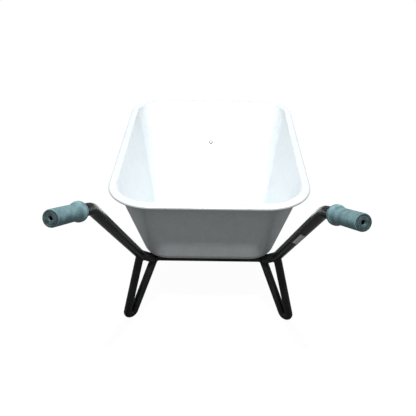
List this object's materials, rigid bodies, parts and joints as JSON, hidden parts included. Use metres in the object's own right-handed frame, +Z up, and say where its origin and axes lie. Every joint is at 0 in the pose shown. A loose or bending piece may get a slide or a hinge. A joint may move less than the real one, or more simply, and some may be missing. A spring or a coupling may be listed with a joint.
{
  "type": "wheelbarrow",
  "caption": "Garden wheelbarrow: deep-drawn galvanised tray on a bent-tube frame with V-shaped feet, moulded grips and one pneumatic wheel.",
  "frame": {"origin": "on the ground under the middle of the whole wheelbarrow", "axes": "+X to the right of a person at the handles, +Y from the grips to the wheel, +Z up"},
  "size_m": [0.6568, 1.4202, 0.659],
  "materials": {
    "galvanised_sheet": "galvanised sheet, softly reflective",
    "black_paint": "gloss black enamel",
    "green_grip": "moulded grey-green soft plastic",
    "label": "blank pale label",
    "tyre_rubber": "matt black rubber",
    "tube_rubber": "smooth black rubber",
    "black_plastic": "moulded black plastic",
    "wheel_paint": "silver-grey paint",
    "nylon": "natural nylon",
    "zinc_fastener": "bright zinc plate"
  },
  "bodies": {
    "frame": {"tray": "galvanised_sheet", "right_rail": "black_paint", "left_rail": "black_paint", "front_hoop": "black_paint", "hoop_screws": "zinc_fastener", "right_leg": "black_paint", "left_leg": "black_paint", "cross_brace": "black_paint", "front_stay": "black_paint", "stay_bolt": "zinc_fastener", "stay_washer": "zinc_fastener", "stay_nut": "zinc_fastener", "tray_bolts": "zinc_fastener", "tray_washers": "zinc_fastener", "tray_nuts": "zinc_fastener", "right_axle_bracket": "black_paint", "left_axle_bracket": "black_paint", "bracket_bolts": "zinc_fastener", "bracket_nuts": "zinc_fastener", "right_grip": "green_grip", "left_grip": "green_grip", "handle_label": "label", "axle": "zinc_fastener", "axle_washers": "zinc_fastener", "axle_nuts": "zinc_fastener", "right_spacer": "zinc_fastener", "left_spacer": "zinc_fastener"},
    "wheel": {"tyre": "tyre_rubber", "inner_tube": "tube_rubber", "valve_stem": "tube_rubber", "valve_cap": "black_plastic", "right_rim_half": "wheel_paint", "left_rim_half": "wheel_paint", "rim_bolts": "zinc_fastener", "rim_nuts": "zinc_fastener", "hub": "wheel_paint", "right_bush": "nylon", "left_bush": "nylon"}
  },
  "joints": [
    {"name": "wheel_spin", "type": "hinge", "parent": "frame", "child": "wheel", "pos_m": [0, 0.47006, 0.19], "axis": [1, 0, 0], "continuous": true}
  ]
}
